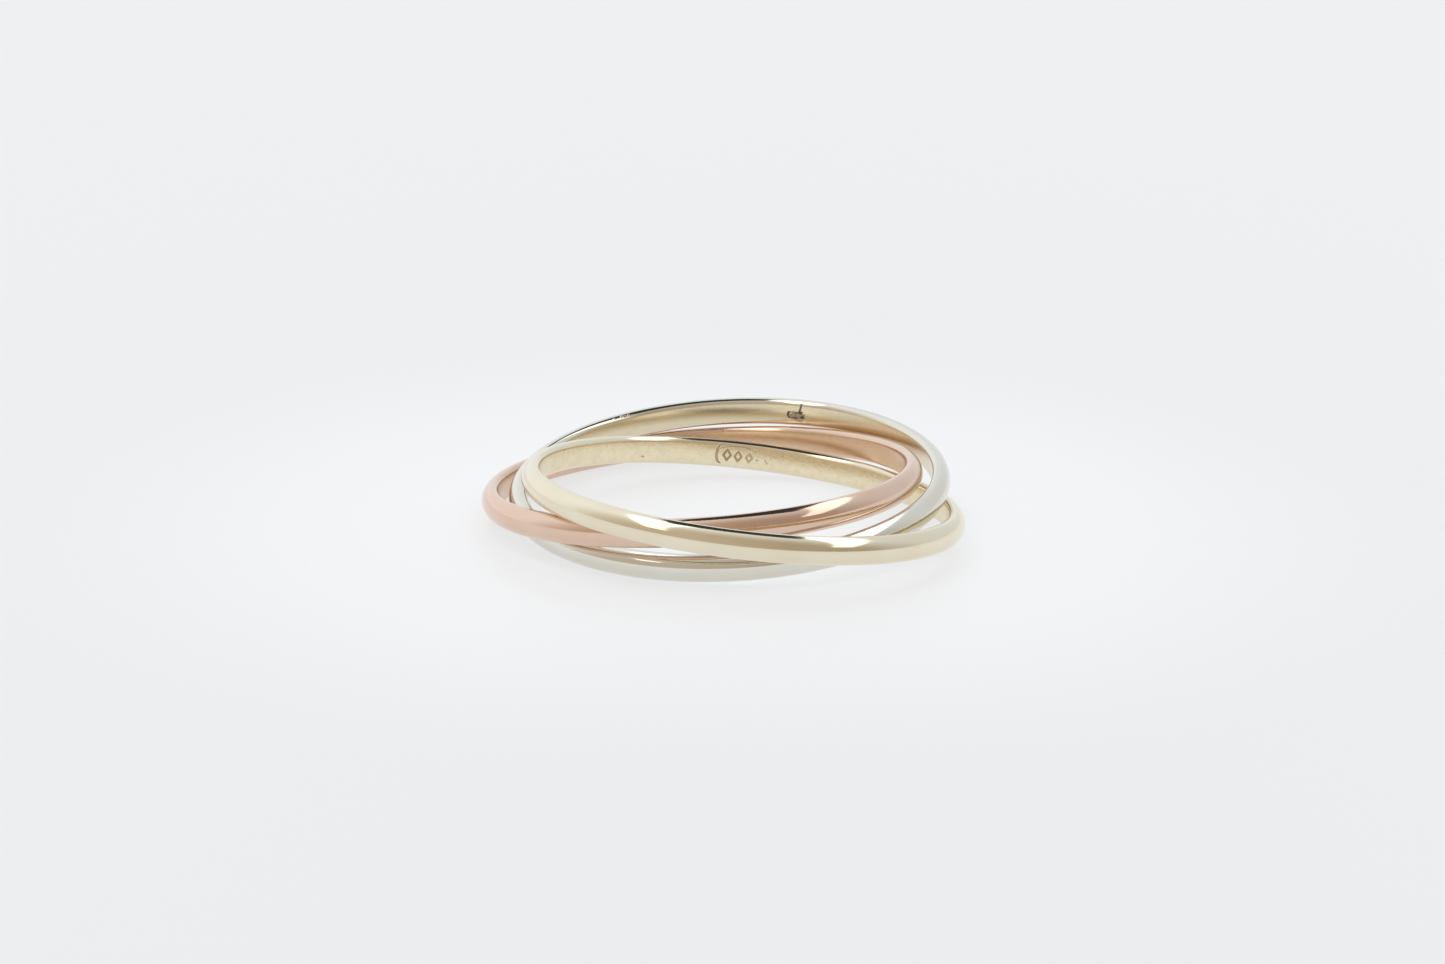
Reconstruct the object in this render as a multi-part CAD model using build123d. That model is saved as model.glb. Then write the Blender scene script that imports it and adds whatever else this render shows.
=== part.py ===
from build123d import *
import os
from dataclasses import dataclass

# A rolling ring: three plain gold bands, each passed through the other two, lying together on a table.
# +X is to the right, +Y to the back and +Z up. The origin is on the table, under the middle of the ring.

# Driving sizes in millimetres. The three bands are drawn from one wire and made to one finger size.
finger_diameter = 18.0
band_width = 1.24
inner_dome_rise = 0.05
side_depth = 0.38
dome_rise = 0.42
inner_edge_radius = 0.24
dome_edge_radius = 0.20
crossing_gap = 0.08

# The most of the flat side, or of half the width, that a rounding's radius may be
rounding_share = 0.75

# Sizes that follow from them
bore_radius = finger_diameter / 2
band_thickness = side_depth + dome_rise
middle_radius = bore_radius + band_thickness / 2
step_across = band_thickness + crossing_gap
step_up = band_width + crossing_gap


@dataclass(frozen=True)
class Lie:
    """How a band lies: its shift in steps of one band's thickness, and how far it climbs from its
    middle to its right and to its back, in steps of one band's width."""

    shift_right_share: float
    shift_back_share: float
    climb_right_share: float
    climb_back_share: float


# The yellow band leans down to the back and right, the rose one rises to the right and the white one to
# the back. Each crosses over one of the others and under the other one.
lies = {
    "yellow_band": Lie(0.93, -2.05, -0.74, -0.63),
    "white_band": Lie(0.22, 1.09, 0.42, 0.59),
    "rose_band": Lie(-1.15, 0.96, 0.55, -0.59),
}

gold_colors = {
    "yellow_band": Color(0.80, 0.68, 0.42),
    "white_band": Color(0.80, 0.79, 0.74),
    "rose_band": Color(0.83, 0.56, 0.46),
}


def band_section():
    """Section of one band on the XZ plane: barely domed inside, short flat sides, full dome outside."""
    half_width = band_width / 2
    inside, crown = bore_radius, bore_radius + band_thickness
    heel, shoulder = bore_radius + inner_dome_rise, bore_radius + side_depth
    with BuildSketch(Plane.XZ) as section:
        with BuildLine():
            Line((shoulder, half_width), (heel, half_width))
            ThreePointArc((heel, half_width), (inside, 0), (heel, -half_width))
            Line((heel, -half_width), (shoulder, -half_width))
            ThreePointArc((shoulder, -half_width), (crown, 0), (shoulder, half_width))
        make_face()
        largest_rounding = rounding_share * min(side_depth - inner_dome_rise, half_width)
        inner_corners = section.vertices().group_by(Axis.X)[0]
        fillet(inner_corners, min(inner_edge_radius, largest_rounding))
        dome_corners = section.vertices().group_by(Axis.X)[-1]
        fillet(dome_corners, min(dome_edge_radius, largest_rounding))
    return section.sketch


def lay_band(band, lie):
    """Tilt and shift a level band, then lower it until its lowest point touches the table."""
    slope_right = lie.climb_right_share * step_up / middle_radius
    slope_back = lie.climb_back_share * step_up / middle_radius
    leaning = Plane(
        origin=(lie.shift_right_share * step_across, lie.shift_back_share * step_across, 0),
        x_dir=(1, 0, slope_right),
        z_dir=(-slope_right, -slope_back, 1),
    )
    laid = leaning.location * band
    return Pos(0, 0, -laid.bounding_box().min.Z) * laid


def centred(bands):
    """Move the ring as a whole, so that the middle of its outline stands over the origin."""
    boxes = [band.bounding_box() for band in bands.values()]
    middle_x = (min(box.min.X for box in boxes) + max(box.max.X for box in boxes)) / 2
    middle_y = (min(box.min.Y for box in boxes) + max(box.max.Y for box in boxes)) / 2
    return {name: Pos(-middle_x, -middle_y, 0) * band for name, band in bands.items()}


level_band = revolve(band_section(), Axis.Z)
ring = centred({name: lay_band(level_band, lie) for name, lie in lies.items()})

os.makedirs("parts", exist_ok=True)
for name, band in ring.items():
    band.label = name
    band.color = gold_colors[name]
    export_step(band, f"parts/{name}.step")
    middle, axis = band.center(), band.location.z_axis.direction
    print(f"{name}: middle {middle.X:.4f} {middle.Y:.4f} {middle.Z:.4f}, "
          f"axis {axis.X:.5f} {axis.Y:.5f} {axis.Z:.5f}, volume {band.volume:.3f}")
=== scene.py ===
import logging
import math
from collections.abc import Callable
from dataclasses import dataclass
from enum import Enum
from typing import Any

import bmesh
import bpy
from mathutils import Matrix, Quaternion, Vector


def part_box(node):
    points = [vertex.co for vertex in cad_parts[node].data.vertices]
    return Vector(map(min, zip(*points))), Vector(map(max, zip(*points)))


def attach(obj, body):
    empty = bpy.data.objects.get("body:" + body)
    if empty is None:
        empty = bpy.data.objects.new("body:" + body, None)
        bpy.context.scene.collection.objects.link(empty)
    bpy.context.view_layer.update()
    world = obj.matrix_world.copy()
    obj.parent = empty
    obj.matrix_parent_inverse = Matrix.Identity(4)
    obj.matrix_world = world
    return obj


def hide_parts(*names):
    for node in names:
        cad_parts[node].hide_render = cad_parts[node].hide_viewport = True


# A rolling ring: three plain 9 ct gold bands, yellow, white and rose, passed through one another and
# lying on a pale table. Each band is a wire, almost flat inside and domed outside, closed to a hoop with
# solder. Sizes are in millimetres where a name ends in mm, and in metres elsewhere, as the frame is.

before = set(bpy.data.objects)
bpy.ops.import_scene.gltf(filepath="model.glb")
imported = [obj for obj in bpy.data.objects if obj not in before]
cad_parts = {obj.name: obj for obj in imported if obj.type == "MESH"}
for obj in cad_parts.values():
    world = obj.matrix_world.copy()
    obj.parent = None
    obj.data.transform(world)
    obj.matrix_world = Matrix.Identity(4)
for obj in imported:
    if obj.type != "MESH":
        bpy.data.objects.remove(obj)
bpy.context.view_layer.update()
LOG = logging.getLogger("rolling_ring")

MM = 0.001

# Places that are nearer to each other than this count as one.
TINY = 0.002 * MM

# A packed band's face looks up if its normal's Z is over this, and faces whose normals agree to this
# many digits lie on one flat side.
UPWARD = 0.5
NORMAL_DIGITS = 3

# A Mix node's inputs for two colours and its output for their mix, by place, because it has others of
# the same names.
MIX_FROM, MIX_TO, MIX_RESULT = 6, 7, 2

# A Test says whether a place on a piece counts. A Shape says it of a place in a mark, given by how far
# along the band and how far up it lies from the mark's middle, in millimetres.
Test = Callable[[Vector], bool]
Shape = Callable[[float, float], bool]
Colour = tuple[float, float, float, float]
Span = tuple[float, float]
Tree = bpy.types.NodeTree
Socket = bpy.types.NodeSocket


def linear(hex_colour: str) -> Colour:
    """Turn an sRGB hex colour into linear light, along the curve of the sRGB standard.

    Args:
        hex_colour: six hex digits after a hash mark.

    Returns:
        Red, green, blue and an alpha of one.
    """
    channels = []
    for start in (1, 3, 5):
        share = int(hex_colour[start:start + 2], 16) / 255
        dark = share <= 0.04045
        channels.append(share / 12.92 if dark else ((share + 0.055) / 1.055) ** 2.4)
    return (channels[0], channels[1], channels[2], 1.0)


def add_node(
    tree: Tree, kind: str, inputs: dict[str | int, Any] | None = None, **settings: Any
) -> bpy.types.Node:
    """Add one shader node with its settings and links.

    Args:
        tree: the node tree that it joins.
        kind: the node's type name.
        inputs: for an input's name or number, the output that it is linked to or the value that it holds.
        settings: the node's own options.

    Returns:
        The new node.
    """
    node = tree.nodes.new(kind)
    for option, value in settings.items():
        setattr(node, option, value)
    for name, value in (inputs or {}).items():
        if isinstance(value, Socket):
            tree.links.new(value, node.inputs[name])
        else:
            node.inputs[name].default_value = value
    return node


def new_material(name: str) -> bpy.types.Material:
    """Start a material with an empty node tree.

    Args:
        name: the material's name.

    Returns:
        The material.
    """
    material = bpy.data.materials.new(name)
    material.use_nodes = True
    material.node_tree.nodes.clear()
    return material


class Pick(Enum):
    """What a selection in edit mode takes."""

    CORNERS = (True, False, False)
    EDGES = (False, True, False)
    FACES = (False, False, True)


class Bench:
    """The modelling bench: one piece in edit mode, with picks made by place."""

    def __init__(self, piece: bpy.types.Object) -> None:
        """Take a piece on the bench, alone and in edit mode.

        Args:
            piece: the mesh object to shape.
        """
        self.piece = piece
        bpy.ops.object.select_all(action="DESELECT")
        bpy.context.view_layer.objects.active = piece
        piece.select_set(True)
        bpy.ops.object.mode_set(mode="EDIT")

    def pick(self, what: Pick, test: Test) -> None:
        """Select what lies, with all its corners, where a test holds, and nothing else.

        Args:
            what: corners, edges or faces.
            test: says of a place whether it counts.
        """
        bpy.context.tool_settings.mesh_select_mode = what.value
        bpy.ops.mesh.select_all(action="DESELECT")
        mesh = bmesh.from_edit_mesh(self.piece.data)
        found = {corner for corner in mesh.verts if test(corner.co)}
        if what is Pick.CORNERS:
            chosen = list(found)
        else:
            items = mesh.edges if what is Pick.EDGES else mesh.faces
            chosen = [item for item in items if found.issuperset(item.verts)]
        for item in chosen:
            item.select_set(True)
        mesh.select_flush_mode()
        bmesh.update_edit_mesh(self.piece.data)

    def take_all(self) -> None:
        """Select everything, by its corners."""
        bpy.context.tool_settings.mesh_select_mode = Pick.CORNERS.value
        bpy.ops.mesh.select_all(action="SELECT")

    def put_down(self) -> bpy.types.Object:
        """Leave edit mode and return the piece."""
        bpy.ops.object.mode_set(mode="OBJECT")
        return self.piece


@dataclass(frozen=True)
class Lie:
    """How a band lies on the table: its middle, and the turn that tips it from level."""

    middle: Vector
    tip: Quaternion

    @classmethod
    def of_node(cls, node: str) -> "Lie":
        """Read a band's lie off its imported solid.

        The middle is that of its box, because the band looks the same from both sides of it. The axis is
        the one direction that a large area of the mesh shares: that of the flat upper side.

        Args:
            node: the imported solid's name.

        Returns:
            The lie.
        """
        low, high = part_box(node)
        sides: dict[tuple[float, ...], Vector] = {}
        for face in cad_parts[node].data.polygons:
            if face.normal.z > UPWARD:
                side = tuple(round(part, NORMAL_DIGITS) for part in face.normal)
                sides[side] = sides.get(side, Vector()) + face.normal * face.area
        axis = max(sides.values(), key=lambda total: total.length).normalized()
        return cls((low + high) / 2, Vector((0, 0, 1)).rotation_difference(axis))

    def level(self, place: Vector) -> Vector:
        """Return where a place on the table is in the level band's own frame."""
        return self.tip.inverted() @ (place - self.middle)


@dataclass(frozen=True)
class DomedFace:
    """One long face of a band's section: a dome between two rounded edges.

    Outward is 1 for the face that shows when the ring is worn, and -1 for the one against the finger.
    """

    outward: int
    crown_radius: float
    rise: float
    half_width: float
    edge_radius: float
    dome_steps: int
    edge_steps: int

    @property
    def dome_radius(self) -> float:
        """Radius of the dome's arc."""
        return (self.half_width**2 + self.rise**2) / (2 * self.rise)

    @property
    def dome_x(self) -> float:
        """Where the dome's arc has its middle."""
        return self.crown_radius - self.outward * self.dome_radius

    @property
    def half_turn(self) -> float:
        """Half of what the dome turns between its rounded edges."""
        return math.asin((self.half_width - self.edge_radius) / (self.dome_radius - self.edge_radius))

    @property
    def edge_x(self) -> float:
        """Where the rounded edges have their middles, and run into the flat sides."""
        reach = (self.dome_radius - self.edge_radius) * math.cos(self.half_turn)
        return self.dome_x + self.outward * reach

    def draw(self, bench: Bench) -> None:
        """Draw the face from the end of the lower flat side to that of the upper one.

        Args:
            bench: the bench with the flat sides on it.
        """
        edge_height = self.half_width - self.edge_radius
        edge_turn = math.pi / 2 - self.half_turn
        bench.pick(Pick.CORNERS, lambda place: place.z < 0 and abs(place.x - self.edge_x) < TINY)
        self.draw_arc((self.edge_x, 0, -edge_height), edge_turn, self.edge_steps)
        self.draw_arc((self.dome_x, 0, 0), 2 * self.half_turn, self.dome_steps)
        self.draw_arc((self.edge_x, 0, edge_height), edge_turn, self.edge_steps)

    def draw_arc(self, middle: tuple[float, float, float], turn: float, steps: int) -> None:
        """Spin the line's last corner on round a middle."""
        bpy.ops.mesh.spin(steps=steps, angle=self.outward * turn, center=middle, axis=(0, 1, 0))


@dataclass
class BandBlank:
    """The plain level hoop that all three bands start as.

    It is almost flat inside, with rounded edges, and fully domed outside, with short flat sides. The
    shares are parts of its thickness: the inner dome's rise, how far out from the bore the flat sides
    reach, and the radii of the inner and the outer edges.
    """

    bore_radius: float
    thickness: float
    width: float
    inner_rise_share: float = 0.0625
    side_share: float = 0.475
    inner_edge_share: float = 0.30
    dome_edge_share: float = 0.25
    side_cuts: int = 2
    turn_steps: int = 480

    @classmethod
    def of_node(cls, node: str) -> "BandBlank":
        """Measure the blank's bore, thickness and width on a packed band.

        Args:
            node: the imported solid's name.

        Returns:
            The blank.
        """
        lie = Lie.of_node(node)
        corners = [lie.level(corner.co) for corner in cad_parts[node].data.vertices]
        radii = [math.hypot(corner.x, corner.y) for corner in corners]
        heights = [corner.z for corner in corners]
        return cls(min(radii), max(radii) - min(radii), max(heights) - min(heights))

    @property
    def inner(self) -> DomedFace:
        """The face against the finger."""
        return DomedFace(
            outward=-1,
            crown_radius=self.bore_radius,
            rise=self.inner_rise_share * self.thickness,
            half_width=self.width / 2,
            edge_radius=self.inner_edge_share * self.thickness,
            dome_steps=16,
            edge_steps=14,
        )

    @property
    def outer(self) -> DomedFace:
        """The face that shows when the ring is worn."""
        return DomedFace(
            outward=1,
            crown_radius=self.bore_radius + self.thickness,
            rise=(1 - self.side_share) * self.thickness,
            half_width=self.width / 2,
            edge_radius=self.dome_edge_share * self.thickness,
            dome_steps=24,
            edge_steps=6,
        )

    def make(self) -> bpy.types.Object:
        """Model the blank.

        Returns:
            The level hoop, with its middle at the origin.
        """
        bench = self.draw_sides()
        self.inner.draw(bench)
        self.outer.draw(bench)
        self.turn(bench)
        blank = bench.put_down()
        bpy.ops.object.shade_smooth()
        blank.name = "band_blank"
        return blank

    def draw_sides(self) -> Bench:
        """Draw the two flat sides of the section, to the right of the axis.

        Returns:
            The bench with the two lines on it.
        """
        inner_x, outer_x = self.inner.edge_x, self.outer.edge_x
        middle = ((inner_x + outer_x) / 2, 0, 0)
        bpy.ops.object.select_all(action="DESELECT")
        bpy.ops.mesh.primitive_plane_add(size=1, location=middle, rotation=(math.pi / 2, 0, 0))
        section = bpy.context.object
        section.scale = (outer_x - inner_x, self.width, 1)
        bpy.ops.object.transform_apply(location=True, rotation=True, scale=True)
        bench = Bench(section)
        for end_x in (inner_x, outer_x):
            bench.pick(Pick.EDGES, lambda place, end_x=end_x: abs(place.x - end_x) < TINY)
            bpy.ops.mesh.delete(type="EDGE_FACE")
        bench.take_all()
        bpy.ops.mesh.subdivide(number_cuts=self.side_cuts)
        return bench

    def turn(self, bench: Bench) -> None:
        """Close the section's outline and spin it once round the finger.

        Args:
            bench: the bench with the outline on it.
        """
        bench.take_all()
        bpy.ops.mesh.remove_doubles(threshold=TINY)
        bench.take_all()
        bpy.ops.mesh.spin(steps=self.turn_steps, angle=2 * math.pi, center=(0, 0, 0), axis=(0, 0, 1))
        bench.take_all()
        bpy.ops.mesh.remove_doubles(threshold=TINY)
        bpy.ops.mesh.normals_make_consistent(inside=False)


@dataclass(frozen=True)
class Mark:
    """A struck, pitted or stained shape on a band's inner face.

    Its place is given as the finger sees it: the turn from the band's right, with the back at 90 degrees,
    and the height over the band's middle line. Depth is how far it is pressed in, and less than nothing
    stands proud. Oxide is how brown it is, from 0 to 1.
    """

    angle_deg: float
    height_mm: float
    holds: Shape
    depth_mm: float = 0.0
    oxide: float = 0.0

    def covers(self, place: Vector, bore_radius: float) -> bool:
        """Say whether a place of the level band is inside the mark.

        Args:
            place: the place on the band.
            bore_radius: the band's bore radius, along which the mark is laid out.

        Returns:
            True if it is inside.
        """
        turn = math.atan2(place.y, place.x) - math.radians(self.angle_deg)
        turn = (turn + math.pi) % (2 * math.pi) - math.pi
        return self.holds(turn * bore_radius / MM, place.z / MM - self.height_mm)


def spot(along_mm: float, up_mm: float) -> Shape:
    """Return the test for an oval with these half lengths."""
    return lambda along, up: (along / along_mm) ** 2 + (up / up_mm) ** 2 < 1


def crescent(along_mm: float, up_mm: float, line_mm: float) -> Shape:
    """Return the test for the left side of an oval's outline, thickest at its middle."""
    oval = spot(along_mm, up_mm)
    return lambda along, up: oval(along, up) and not oval(along + line_mm, up)


def upper_line(along_mm: float, up_mm: float, line_mm: float, from_share: float = 0.6) -> Shape:
    """Return the test for an oval's outline, as wide as the line, from a share of its height upwards."""
    outer, inner = spot(along_mm, up_mm), spot(along_mm - line_mm, up_mm - line_mm)
    return lambda along, up: outer(along, up) and not inner(along, up) and up > from_share * up_mm


def lozenge_line(along_mm: float, up_mm: float, line_mm: float) -> Shape:
    """Return the test for the outline of a lozenge with these half lengths."""
    return lambda along, up: 1 - line_mm / along_mm < abs(along) / along_mm + abs(up) / up_mm < 1


def uneven_spot(along_mm: float, up_mm: float, bites: int, bite: float) -> Shape:
    """Return the test for an oval whose edge wavers a few times on its way round.

    Args:
        along_mm: half its length.
        up_mm: half its height.
        bites: how many times the edge wavers.
        bite: how deeply it does, as a share of the oval.

    Returns:
        The test.
    """
    start_turn = 1.0
    finer_bites, finer_bite = bites + 2, 0.6 * bite

    def holds(along: float, up: float) -> bool:
        """Say whether a place is inside the wavering edge."""
        turn = math.atan2(up / up_mm, along / along_mm)
        wave, finer_wave = math.sin(bites * turn + start_turn), math.sin(finer_bites * turn)
        return math.hypot(along / along_mm, up / up_mm) < 1 + bite * wave + finer_bite * finer_wave

    return holds


def slanting_line(rise_mm: float, lean_mm: float, line_mm: float) -> Shape:
    """Return the test for a straight line that rises and leans from its lower end.

    Args:
        rise_mm: how far it rises.
        lean_mm: how far it leans along the band on its way.
        line_mm: how wide it is.

    Returns:
        The test.
    """

    def holds(along: float, up: float) -> bool:
        """Say whether a place is on the line."""
        share = up / rise_mm
        return 0 <= share <= 1 and abs(along - lean_mm * share) < line_mm / 2

    return holds


@dataclass(frozen=True)
class Zone:
    """A stretch of the inner face with a mesh fine enough for its marks."""

    from_deg: float
    to_deg: float
    cuts: int = 5

    def covers(self, place: Vector, reach: float) -> bool:
        """Say whether a place of the level band is in the zone, no further out than the reach."""
        turn_deg = math.degrees(math.atan2(place.y, place.x))
        return self.from_deg < turn_deg < self.to_deg and math.hypot(place.x, place.y) < reach


@dataclass(frozen=True)
class PolishedGold:
    """9 ct gold wire, soldered, polished outside on a mop and rubbed to a satin by the finger inside.

    The outside is close to a mirror with fine hairlines along the band. The inside scatters more: its
    grain and its soft streaks dull what it mirrors to bands of light and dark, and specks of oxide mottle
    it. The marks are dull with oxide, which covers a part of their metal. A fade is the range over which
    a pattern comes in, and a share is how far it then goes.
    """

    name: str
    alloy: str
    warm: str
    inside_alloy: str
    oxide: str
    outside_roughness: float = 0.07
    inside_roughness: float = 0.19
    inside_fade_mm: Span = (0.02, 0.08)
    streak_mm: float = 0.07
    streak_length_mm: float = 7.0
    streak_height_mm: float = 0.0004
    streak_roughness: float = 0.06
    grain_mm: float = 0.13
    grain_height_mm: float = 0.0075
    cloud_mm: float = 2.2
    cloud_fade: Span = (0.35, 0.70)
    cloud_share: float = 0.60
    mottle_mm: float = 0.30
    mottle_fade: Span = (0.40, 0.75)
    mottle_share: float = 0.16
    oxide_roughness: float = 0.35
    oxide_cover: float = 0.50

    def make(self, lie: Lie, blank: BandBlank) -> bpy.types.Material:
        """Make the finish as a node material for a band that lies as given.

        Args:
            lie: the band's lie, which centres and levels the patterns.
            blank: the band's sizes, which tell its inside from its outside.

        Returns:
            The material.
        """
        material = new_material(self.name)
        tree = material.node_tree
        level, radius = self.find_places(tree, lie)
        inside = self.mask_inside(tree, radius, blank.bore_radius)
        streaks = self.draw_streaks(tree, level, radius)
        stain = add_node(
            tree, "ShaderNodeAttribute", attribute_type="GEOMETRY", attribute_name="oxide",
        ).outputs["Fac"]
        metallic = add_node(tree, "ShaderNodeMath", {
            0: stain, 1: -self.oxide_cover, 2: 1.0,
        }, operation="MULTIPLY_ADD").outputs["Value"]
        shader = add_node(tree, "ShaderNodeBsdfPrincipled", {
            "Base Color": self.mix_colour(tree, level, inside, stain),
            "Roughness": self.find_roughness(tree, streaks, inside, stain),
            "Metallic": metallic,
            "Normal": self.raise_relief(tree, level, streaks, inside),
        })
        add_node(tree, "ShaderNodeOutputMaterial", {"Surface": shader.outputs["BSDF"]})
        return material

    def find_places(self, tree: Tree, lie: Lie) -> tuple[Socket, Socket]:
        """Bring each place of the lying band to the level one.

        Args:
            tree: the material's nodes.
            lie: how the band lies.

        Returns:
            Places on the level band, in millimetres, and how far they are from its axis.
        """
        coordinates = add_node(tree, "ShaderNodeTexCoord")
        level = add_node(tree, "ShaderNodeMapping", {
            "Vector": coordinates.outputs["Object"], "Location": lie.middle,
            "Rotation": lie.tip.to_euler(), "Scale": (MM, MM, MM),
        }, vector_type="TEXTURE").outputs["Vector"]
        flat = add_node(tree, "ShaderNodeVectorMath", {0: level, 1: (1, 1, 0)}, operation="MULTIPLY")
        radius = add_node(tree, "ShaderNodeVectorMath", {0: flat.outputs["Vector"]}, operation="LENGTH")
        return level, radius.outputs["Value"]

    def mask_inside(self, tree: Tree, radius: Socket, bore_radius: float) -> Socket:
        """Tell the inner face from the rest of the band, with a soft change near its edges.

        Args:
            tree: the material's nodes.
            radius: how far a place is from the band's axis, in millimetres.
            bore_radius: the band's bore radius.

        Returns:
            1 on the inner face and 0 outside.
        """
        bore_mm = bore_radius / MM
        from_mm, to_mm = self.inside_fade_mm
        return add_node(tree, "ShaderNodeMapRange", {
            "Value": radius, "From Min": bore_mm + from_mm, "From Max": bore_mm + to_mm,
            "To Min": 1.0, "To Max": 0.0,
        }, interpolation_type="SMOOTHSTEP").outputs["Result"]

    def draw_streaks(self, tree: Tree, level: Socket, radius: Socket) -> Socket:
        """Draw streaks that run along the band, slow round it and quick across it.

        Args:
            tree: the material's nodes.
            level: places on the level band.
            radius: how far they are from its axis.

        Returns:
            The streaks.
        """
        # A mop's hairlines are a hundredth of a millimetre apart. That is too fine to show, so they are
        # drawn coarser.
        outward = add_node(tree, "ShaderNodeCombineXYZ", {"Z": radius})
        across = add_node(tree, "ShaderNodeVectorMath", {0: level, 1: outward.outputs["Vector"]})
        along_scale, across_scale = 1 / self.streak_length_mm, 1 / self.streak_mm
        drawn = add_node(tree, "ShaderNodeVectorMath", {
            0: across.outputs["Vector"], 1: (along_scale, along_scale, across_scale),
        }, operation="MULTIPLY")
        return add_node(tree, "ShaderNodeTexNoise", {
            "Vector": drawn.outputs["Vector"], "Scale": 1.0, "Detail": 3.0, "Roughness": 0.6,
        }).outputs["Fac"]

    def mix_colour(self, tree: Tree, level: Socket, inside: Socket, stain: Socket) -> Socket:
        """Mix the colour: the alloy in faint warm clouds, mottled inside, and brown where oxide sits.

        Args:
            tree: the material's nodes.
            level: places on the level band.
            inside: the inner face's mask.
            stain: how brown the marks are.

        Returns:
            The colour.
        """
        clouds = add_node(tree, "ShaderNodeTexNoise", {
            "Vector": level, "Scale": 1 / self.cloud_mm, "Detail": 2.0,
        }).outputs["Fac"]
        cloud_share = add_node(tree, "ShaderNodeMapRange", {
            "Value": clouds, "From Min": self.cloud_fade[0], "From Max": self.cloud_fade[1],
            "To Min": 0.0, "To Max": self.cloud_share,
        }).outputs["Result"]
        metal = add_node(tree, "ShaderNodeMix", {
            "Factor": cloud_share, MIX_FROM: linear(self.alloy), MIX_TO: linear(self.warm),
        }, data_type="RGBA").outputs[MIX_RESULT]
        mottles = add_node(tree, "ShaderNodeTexNoise", {
            "Vector": level, "Scale": 1 / self.mottle_mm, "Detail": 4.0, "Roughness": 0.7,
        }).outputs["Fac"]
        mottle_share = add_node(tree, "ShaderNodeMapRange", {
            "Value": mottles, "From Min": self.mottle_fade[0], "From Max": self.mottle_fade[1],
            "To Min": 0.0, "To Max": self.mottle_share,
        }).outputs["Result"]
        mottled = add_node(tree, "ShaderNodeMix", {
            "Factor": mottle_share, MIX_FROM: linear(self.inside_alloy), MIX_TO: linear(self.oxide),
        }, data_type="RGBA").outputs[MIX_RESULT]
        worn = add_node(tree, "ShaderNodeMix", {
            "Factor": inside, MIX_FROM: metal, MIX_TO: mottled,
        }, data_type="RGBA").outputs[MIX_RESULT]
        return add_node(tree, "ShaderNodeMix", {
            "Factor": stain, MIX_FROM: worn, MIX_TO: linear(self.oxide),
        }, data_type="RGBA").outputs[MIX_RESULT]

    def find_roughness(self, tree: Tree, streaks: Socket, inside: Socket, stain: Socket) -> Socket:
        """Work out the roughness: a mop's mirror outside, the finger's satin inside, and dull oxide.

        Args:
            tree: the material's nodes.
            streaks: the streaks along the band.
            inside: the inner face's mask.
            stain: how brown the marks are.

        Returns:
            The roughness.
        """
        base = add_node(tree, "ShaderNodeMapRange", {
            "Value": inside, "To Min": self.outside_roughness, "To Max": self.inside_roughness,
        }).outputs["Result"]
        streaked = add_node(tree, "ShaderNodeMath", {
            0: streaks, 1: self.streak_roughness, 2: base,
        }, operation="MULTIPLY_ADD").outputs["Value"]
        return add_node(tree, "ShaderNodeMath", {
            0: stain, 1: self.oxide_roughness, 2: streaked,
        }, operation="MULTIPLY_ADD").outputs["Value"]

    def raise_relief(self, tree: Tree, level: Socket, streaks: Socket, inside: Socket) -> Socket:
        """Raise the streaks all over and a grain on the inner face alone.

        Args:
            tree: the material's nodes.
            level: places on the level band.
            streaks: the streaks along the band.
            inside: the inner face's mask.

        Returns:
            The normal.
        """
        # A satin face's grain is a hundredth of a millimetre wide. That is too fine to show, so it is
        # drawn coarser.
        grain = add_node(tree, "ShaderNodeTexNoise", {
            "Vector": level, "Scale": 1 / self.grain_mm, "Detail": 3.0, "Roughness": 0.65,
        }).outputs["Fac"]
        grain_height = add_node(tree, "ShaderNodeMath", {0: grain, 1: inside}, operation="MULTIPLY")
        streak_relief = add_node(tree, "ShaderNodeBump", {
            "Height": streaks, "Distance": self.streak_height_mm * MM,
        }).outputs["Normal"]
        return add_node(tree, "ShaderNodeBump", {
            "Height": grain_height.outputs["Value"], "Distance": self.grain_height_mm * MM,
            "Normal": streak_relief,
        }).outputs["Normal"]


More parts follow.
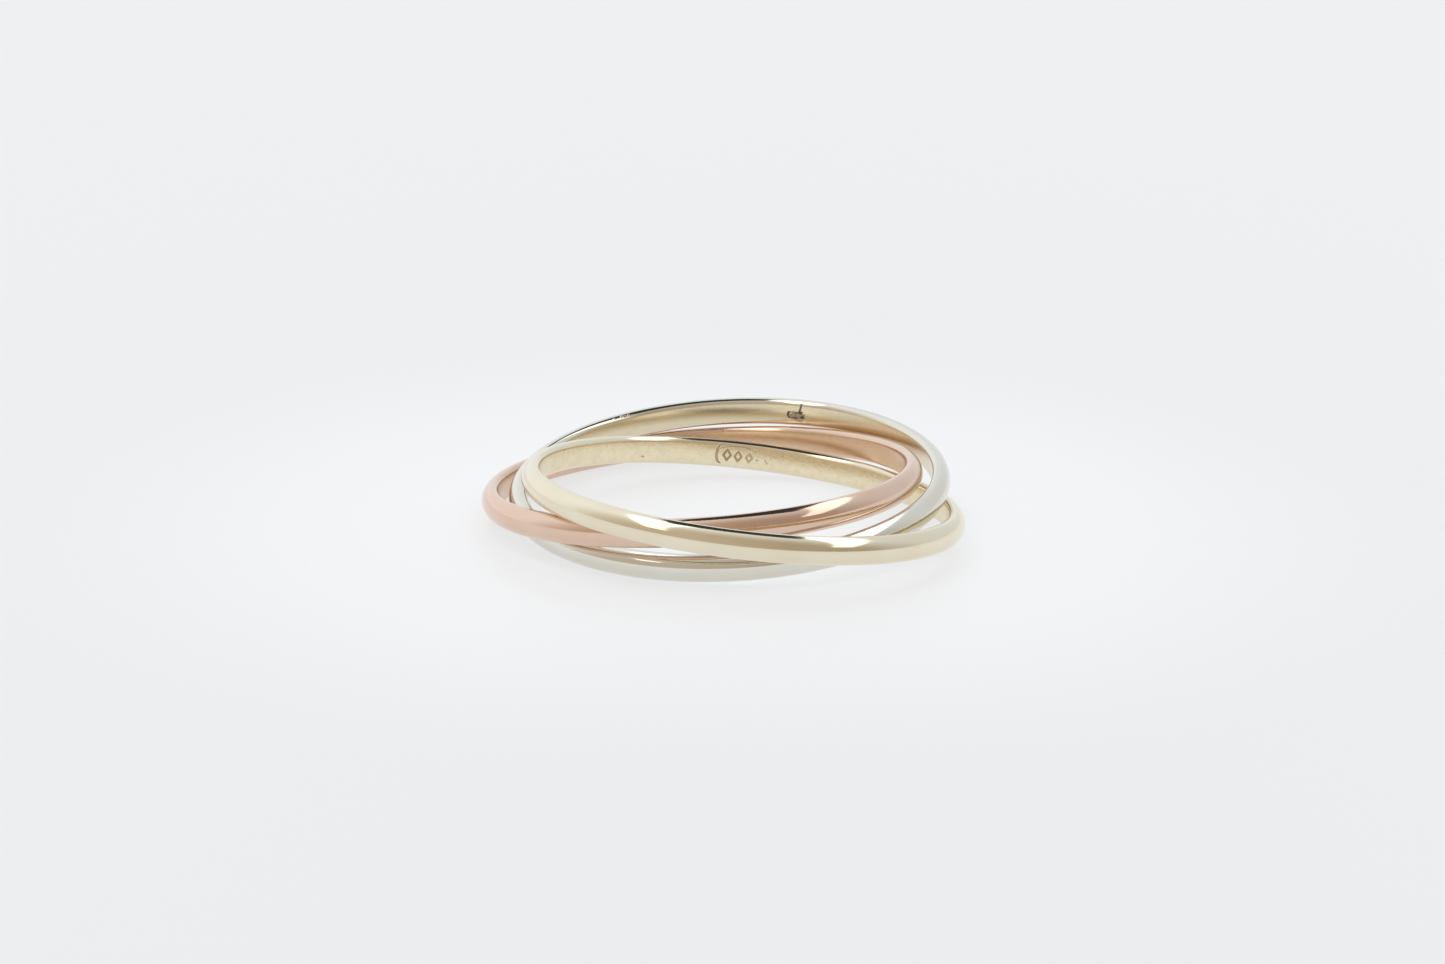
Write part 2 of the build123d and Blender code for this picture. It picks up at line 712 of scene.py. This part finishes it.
@dataclass
class GoldBand:
    """One band of the ring: the blank, with its own marks, place and finish."""

    node: str
    body: str
    slot: str
    finish: PolishedGold
    zones: list[Zone]
    marks: list[Mark]
    mark_softness: float = 0.5
    wear_mm: float = 0.006
    wear_size_mm: float = 2.5

    def make(self, blank_piece: bpy.types.Object, blank: BandBlank) -> bpy.types.Object:
        """Model the band from a copy of the blank, lay it down and dress it.

        Args:
            blank_piece: the level blank.
            blank: its sizes.

        Returns:
            The finished band.
        """
        piece = blank_piece.copy()
        piece.data = blank_piece.data.copy()
        piece.name = f"{self.slot}_hoop"
        bpy.context.scene.collection.objects.link(piece)
        piece.data.attributes.new("oxide", "FLOAT", "POINT")
        bench = Bench(piece)
        self.refine(bench, blank)
        self.strike(bench, blank)
        bench.put_down()
        lie = Lie.of_node(self.node)
        self.wear(piece)
        self.lay(piece, lie)
        piece.data.materials.append(self.finish.make(lie, blank))
        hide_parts(self.node)
        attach(piece, self.body)
        return piece

    def refine(self, bench: Bench, blank: BandBlank) -> None:
        """Cut the inner face finer where marks go.

        Args:
            bench: the bench with the band on it.
            blank: the band's sizes.
        """
        reach = blank.inner.edge_x + TINY
        for zone in self.zones:
            bench.pick(Pick.FACES, lambda place, zone=zone: zone.covers(place, reach))
            bpy.ops.mesh.subdivide(number_cuts=zone.cuts)

    def strike(self, bench: Bench, blank: BandBlank) -> None:
        """Press the marks in, brown them with oxide and soften their edges.

        Args:
            bench: the bench with the band on it.
            blank: the band's sizes.
        """
        reach = blank.inner.edge_x + TINY
        mesh = bench.piece.data
        for mark in self.marks:
            bench.pick(Pick.CORNERS, lambda place, mark=mark: (
                math.hypot(place.x, place.y) < reach and mark.covers(place, blank.bore_radius)))
            if mark.depth_mm:
                bpy.ops.transform.shrink_fatten(value=-mark.depth_mm * MM)
            if mark.oxide:
                mesh.attributes.active = mesh.attributes["oxide"]
                bpy.ops.mesh.attribute_set(value_float=mark.oxide)
        for zone in self.zones:
            bench.pick(Pick.CORNERS, lambda place, zone=zone: zone.covers(place, reach))
            bpy.ops.mesh.vertices_smooth(factor=self.mark_softness, repeat=1)

    def wear(self, piece: bpy.types.Object) -> None:
        """Take the hoop a little out of true, as years of wear do.

        Args:
            piece: the level band.
        """
        texture = bpy.data.textures.new(f"{self.slot}_wear", "CLOUDS")
        texture.noise_scale = self.wear_size_mm * MM
        worn = piece.modifiers.new("Wear", "DISPLACE")
        worn.texture = texture
        worn.strength = self.wear_mm * MM
        bpy.ops.object.modifier_apply(modifier=worn.name)

    def lay(self, piece: bpy.types.Object, lie: Lie) -> None:
        """Tip the level band and move it to where it lies, all in its mesh.

        Args:
            piece: the level band.
            lie: how it lies.
        """
        piece.rotation_mode = "QUATERNION"
        piece.rotation_quaternion = lie.tip
        piece.location = lie.middle
        bpy.ops.object.transform_apply(location=True, rotation=True, scale=True)


@dataclass(frozen=True)
class Table:
    """A wide table of white acrylic, with a painted glow that lifts its shadows and a painted pool of
    light under the ring.

    The painted glow goes from the first strength of its pool to the second between the pool's two radii.
    The acrylic's own colour is dark, so that most of the table's brightness is painted light.
    """

    width: float = 3.0
    acrylic: str = "#8A8C8F"
    # Painted fill light: the colour of the table's glow, which lifts its shadows.
    painted_glow: str = "#CACBCC"
    painted_light_pool_radii: Span = (0.006, 0.034)
    painted_light_pool_strengths: Span = (1.09, 0.96)

    def lay(self) -> None:
        """Add the table under the ring."""
        bpy.ops.object.select_all(action="DESELECT")
        bpy.ops.mesh.primitive_plane_add(size=self.width)
        table = bpy.context.object
        table.name = "table"
        table.data.materials.append(self.dress())

    def dress(self) -> bpy.types.Material:
        """Make the table's material.

        Returns:
            The material.
        """
        material = new_material("white_acrylic_painted_glow")
        tree = material.node_tree
        places = add_node(tree, "ShaderNodeTexCoord").outputs["Object"]
        radius = add_node(tree, "ShaderNodeVectorMath", {0: places}, operation="LENGTH")
        # A painted pool of light: the table's emission is strongest under the ring and fades outwards,
        # lightening the shadows there.
        painted_light_pool = add_node(tree, "ShaderNodeMapRange", {
            "Value": radius.outputs["Value"],
            "From Min": self.painted_light_pool_radii[0], "From Max": self.painted_light_pool_radii[1],
            "To Min": self.painted_light_pool_strengths[0], "To Max": self.painted_light_pool_strengths[1],
        }, interpolation_type="SMOOTHSTEP")
        shader = add_node(tree, "ShaderNodeBsdfPrincipled", {
            "Base Color": linear(self.acrylic), "Roughness": 0.6, "Specular IOR Level": 0.3,
            "Emission Color": linear(self.painted_glow), "Emission Strength": painted_light_pool.outputs["Result"],
        })
        add_node(tree, "ShaderNodeOutputMaterial", {"Surface": shader.outputs["BSDF"]})
        return material


@dataclass(frozen=True)
class Air:
    """The soft light of a pale room: bright behind and overhead, warm in front, dim at the right.

    It changes from front to back over the depth fade of a direction's Y, to which a share of its Z is
    added, and from left to right over the side fade of its X.
    """

    front: str = "#D3C5B4"
    back: str = "#EEF1F4"
    front_strength: float = 0.90
    back_strength: float = 1.15
    overhead_share: float = 0.25
    depth_fade: Span = (-0.5, 0.5)
    left_share: float = 1.03
    right_share: float = 0.78
    side_fade: Span = (-0.6, 0.8)

    def fill(self) -> None:
        """Fill the room with the light."""
        world = bpy.data.worlds.new("pale_room")
        world.use_nodes = True
        tree = world.node_tree
        tree.nodes.clear()
        directions = add_node(tree, "ShaderNodeTexCoord").outputs["Generated"]
        axes = add_node(tree, "ShaderNodeSeparateXYZ", {0: directions})
        leaning = add_node(tree, "ShaderNodeMath", {
            0: axes.outputs["Z"], 1: self.overhead_share, 2: axes.outputs["Y"],
        }, operation="MULTIPLY_ADD")
        behind = add_node(tree, "ShaderNodeMapRange", {
            "Value": leaning.outputs["Value"],
            "From Min": self.depth_fade[0], "From Max": self.depth_fade[1],
        }, interpolation_type="SMOOTHSTEP").outputs["Result"]
        strength = add_node(tree, "ShaderNodeMapRange", {
            "Value": behind, "To Min": self.front_strength, "To Max": self.back_strength,
        })
        side_share = add_node(tree, "ShaderNodeMapRange", {
            "Value": axes.outputs["X"],
            "From Min": self.side_fade[0], "From Max": self.side_fade[1],
            "To Min": self.left_share, "To Max": self.right_share,
        }, interpolation_type="SMOOTHSTEP")
        shaded = add_node(tree, "ShaderNodeMath", {
            0: strength.outputs["Result"], 1: side_share.outputs["Result"],
        }, operation="MULTIPLY")
        colour = add_node(tree, "ShaderNodeMix", {
            "Factor": behind, MIX_FROM: linear(self.front), MIX_TO: linear(self.back),
        }, data_type="RGBA")
        light = add_node(tree, "ShaderNodeBackground", {
            "Color": colour.outputs[MIX_RESULT], "Strength": shaded.outputs["Value"],
        })
        add_node(tree, "ShaderNodeOutputWorld", {"Surface": light.outputs["Background"]})
        bpy.context.scene.world = world


@dataclass(frozen=True)
class Strip:
    """A long soft light in the ceiling, with its turn, and its reach across and along that turn."""

    name: str
    turn_deg: float
    across: Span
    along: Span
    ceiling: float = 0.30
    radiance: float = 1.1

    def hang(self) -> None:
        """Hang the light."""
        light = bpy.data.lights.new(self.name, "AREA")
        light.shape = "RECTANGLE"
        light.size = self.across[1] - self.across[0]
        light.size_y = self.along[1] - self.along[0]
        light.energy = self.radiance * math.pi * light.size * light.size_y
        lamp = bpy.data.objects.new(self.name, light)
        turn = math.radians(self.turn_deg)
        unturned = Vector((sum(self.across) / 2, sum(self.along) / 2, self.ceiling))
        lamp.location = Quaternion((0, 0, 1), turn) @ unturned
        lamp.rotation_euler = (0, 0, turn)
        bpy.context.scene.collection.objects.link(lamp)


@dataclass(frozen=True)
class Card:
    """A small card of charcoal felt over the back of the ring and behind it, narrower at its far end.

    Felt takes up nearly all light. The card shows only in reflections, as the dark lines on the bands'
    edges, and it throws no shade on the table.
    """

    felt: str = "#3C3E3C"
    height: float = 0.050
    front_y: float = -0.003
    back_y: float = 0.088
    front_x: Span = (-0.0125, 0.0228)
    back_x: Span = (0.0030, 0.0085)

    def hang(self) -> None:
        """Hang the card, which the camera does not see and which throws no shade."""
        card = self.cut()
        card.name = "dark_card"
        card.data.materials.append(self.dress())
        card.visible_camera = False
        card.visible_diffuse = False
        card.visible_shadow = False

    def cut(self) -> bpy.types.Object:
        """Cut the card out of a square of its own length.

        Returns:
            The card, where it hangs.
        """
        length = self.back_y - self.front_y
        middle = (0, (self.front_y + self.back_y) / 2, self.height)
        bpy.ops.object.select_all(action="DESELECT")
        bpy.ops.mesh.primitive_plane_add(size=length, location=middle)
        square = bpy.context.object
        bpy.ops.object.transform_apply(location=True, rotation=True, scale=True)
        bench = Bench(square)
        for y, (left, right) in ((self.front_y, self.front_x), (self.back_y, self.back_x)):
            bench.pick(Pick.CORNERS, lambda place, y=y: abs(place.y - y) < TINY)
            width_share = (right - left) / length
            bpy.ops.transform.resize(value=(width_share, 1, 1), center_override=(0, y, self.height))
            bpy.ops.transform.translate(value=((left + right) / 2, 0, 0))
        return bench.put_down()

    def dress(self) -> bpy.types.Material:
        """Make the felt, dark and without any gloss.

        Returns:
            The material.
        """
        material = new_material("charcoal_felt")
        tree = material.node_tree
        shader = add_node(tree, "ShaderNodeBsdfPrincipled", {
            "Base Color": linear(self.felt), "Roughness": 1.0, "Specular IOR Level": 0.0,
        })
        add_node(tree, "ShaderNodeOutputMaterial", {"Surface": shader.outputs["BSDF"]})
        return material


@dataclass(frozen=True)
class PhotoCamera:
    """The camera, with the photo's height over the table, roll and scale.

    Pixels are those of the photo's frame. The ring's foot is where the origin lies in it.
    """

    distance: float = 0.240
    elevation_deg: float = 17.63
    roll_deg: float = 0.66
    pixels_per_mm: float = 22.62
    frame_px: tuple[int, int] = (1445, 964)
    ring_foot_px: tuple[float, float] = (721.95, 529.45)
    sensor_width_mm: float = 36.0
    clip: Span = (0.01, 20.0)

    def stand(self) -> None:
        """Stand the camera so that the ring is as large, and where, it is in the photo."""
        width_px, height_px = self.frame_px
        data = bpy.data.cameras.new("photo_camera")
        data.sensor_width = self.sensor_width_mm
        focal_px = self.pixels_per_mm * self.distance / MM
        data.lens = focal_px / width_px * data.sensor_width
        data.clip_start, data.clip_end = self.clip
        camera = bpy.data.objects.new("photo_camera", data)
        bpy.context.scene.collection.objects.link(camera)
        bpy.context.scene.camera = camera

        elevation = math.radians(self.elevation_deg)
        outward = Vector((0, -math.cos(elevation), math.sin(elevation)))
        right = Vector((1, 0, 0))
        up = outward.cross(right)
        roll = math.radians(self.roll_deg)

        # The way from the ring's foot to the picture's middle, turned back by the roll, leads to the aim.
        off_x = width_px / 2 - self.ring_foot_px[0]
        off_y = height_px / 2 - self.ring_foot_px[1]
        along = off_x * math.cos(roll) + off_y * math.sin(roll)
        down = off_y * math.cos(roll) - off_x * math.sin(roll)
        aim = (right * along - up * down) / self.pixels_per_mm * MM
        camera.location = outward * self.distance
        camera.rotation_mode = "QUATERNION"
        look = (camera.location - aim).to_track_quat("Z", "Y")
        camera.rotation_quaternion = look @ Quaternion((0, 0, 1), roll)


@dataclass
class Studio:
    """The plain pale table, its soft light, and the camera where the photo was taken from."""

    table: Table = Table()
    air: Air = Air()
    strips: tuple[Strip, ...] = (
        Strip("left_strip", turn_deg=-35.0, across=(-0.150, -0.040), along=(-0.50, 0.03)),
        Strip("right_strip", turn_deg=40.0, across=(0.140, 0.270), along=(-0.55, 0.15)),
    )
    card: Card = Card()
    camera: PhotoCamera = PhotoCamera()

    def make(self) -> None:
        """Lay the table, set the lights and stand the camera."""
        self.table.lay()
        self.air.fill()
        for strip in self.strips:
            strip.hang()
        self.card.hang()
        self.camera.stand()
        bpy.context.scene.view_settings.view_transform = "Standard"


# Marks are given by their turn, height and shape. Here are those of the yellow band's struck mark: two
# curved lines, three lozenges, a point and a faint stroke. The last one is a pit.
YELLOW_MARKS = [
    Mark(96.3, 0.02, crescent(0.24, 0.44, 0.10), depth_mm=0.05, oxide=0.5),
    Mark(91.2, 0.00, upper_line(1.10, 0.46, 0.045), depth_mm=0.025, oxide=0.3),
    Mark(94.4, 0.00, lozenge_line(0.22, 0.31, 0.095), depth_mm=0.06, oxide=0.55),
    Mark(91.2, -0.02, lozenge_line(0.20, 0.29, 0.085), depth_mm=0.05, oxide=0.5),
    Mark(88.0, -0.03, lozenge_line(0.18, 0.26, 0.075), depth_mm=0.04, oxide=0.4),
    Mark(85.65, -0.09, spot(0.04, 0.04), depth_mm=0.02, oxide=0.4),
    Mark(82.6, -0.22, slanting_line(0.18, 0.10, 0.06), depth_mm=0.02, oxide=0.35),
    Mark(120.0, -0.27, spot(0.05, 0.04), depth_mm=0.03, oxide=0.6),
]

# The white band's solder joint: a low brown blob, the pits in it, the line up to the edge and a stain
# below. The last four are nicks in the band's upper edge.
WHITE_MARKS = [
    Mark(70.1, -0.05, uneven_spot(0.40, 0.19, 5, 0.15), depth_mm=-0.014, oxide=0.50),
    Mark(71.9, -0.04, crescent(0.17, 0.18, 0.09), depth_mm=0.04, oxide=0.9),
    Mark(70.5, -0.16, uneven_spot(0.14, 0.05, 3, 0.25), depth_mm=0.03, oxide=0.8),
    Mark(69.0, 0.09, uneven_spot(0.14, 0.07, 3, 0.25), depth_mm=0.04, oxide=0.9),
    Mark(68.2, -0.13, uneven_spot(0.10, 0.08, 4, 0.25), depth_mm=0.04, oxide=0.9),
    Mark(70.3, 0.06, uneven_spot(0.05, 0.04, 3, 0.20), depth_mm=0.03, oxide=0.7),
    Mark(69.1, 0.12, slanting_line(0.40, -0.11, 0.09), depth_mm=0.03, oxide=0.8),
    Mark(69.3, -0.29, spot(0.20, 0.08), oxide=0.3),
    Mark(120.2, 0.57, spot(0.05, 0.03), depth_mm=0.02, oxide=0.5),
    Mark(121.6, 0.56, spot(0.07, 0.04), depth_mm=0.03, oxide=0.6),
    Mark(122.5, 0.58, spot(0.04, 0.03), depth_mm=0.02, oxide=0.5),
    Mark(124.8, 0.57, spot(0.04, 0.03), depth_mm=0.02, oxide=0.5),
]

# One nick in the rose band's upper edge.
ROSE_MARKS = [
    Mark(84.0, 0.50, spot(0.05, 0.04), depth_mm=0.02, oxide=0.5),
]

BANDS = [
    GoldBand(
        node="yellow_band", body="yellow", slot="yellow_gold",
        finish=PolishedGold(
            "polished_9ct_yellow_gold", alloy="#EBE3CD", warm="#E6DABE", inside_alloy="#EFE3C4",
            oxide="#8A6C4C",
        ),
        zones=[Zone(80.0, 100.5), Zone(118.5, 121.5)], marks=YELLOW_MARKS,
    ),
    GoldBand(
        node="white_band", body="white", slot="white_gold",
        finish=PolishedGold(
            "polished_9ct_white_gold", alloy="#E2E0D7", warm="#DED8C8", inside_alloy="#E8DDC2",
            oxide="#5E5747", grain_height_mm=0.0015, mottle_share=0.08,
        ),
        zones=[Zone(66.0, 75.0), Zone(119.0, 126.0)], marks=WHITE_MARKS,
    ),
    GoldBand(
        node="rose_band", body="rose", slot="rose_gold",
        finish=PolishedGold(
            "polished_9ct_rose_gold", alloy="#E3C8B5", warm="#DFBDA7", inside_alloy="#E6C8AF",
            oxide="#7A4E38", inside_roughness=0.20, grain_height_mm=0.0025, mottle_share=0.10,
        ),
        zones=[Zone(82.5, 85.5)], marks=ROSE_MARKS,
    ),
]


def main() -> None:
    """Build the ring band by band, then the studio, and note the sizes."""
    logging.basicConfig(level=logging.INFO, format="%(name)s: %(message)s")
    blank = BandBlank.of_node("yellow_band")
    LOG.info("blank: bore %.3f mm, thickness %.3f mm, width %.3f mm", 2 * blank.bore_radius / MM,
             blank.thickness / MM, blank.width / MM)
    blank_piece = blank.make()
    for band in BANDS:
        piece = band.make(blank_piece, blank)
        LOG.info("%s: %d faces on body %s", piece.name, len(piece.data.polygons), band.body)
    bpy.data.objects.remove(blank_piece)
    Studio().make()
    LOG.info("studio: table, lights, card and camera")


if __name__ == "__main__":
    main()
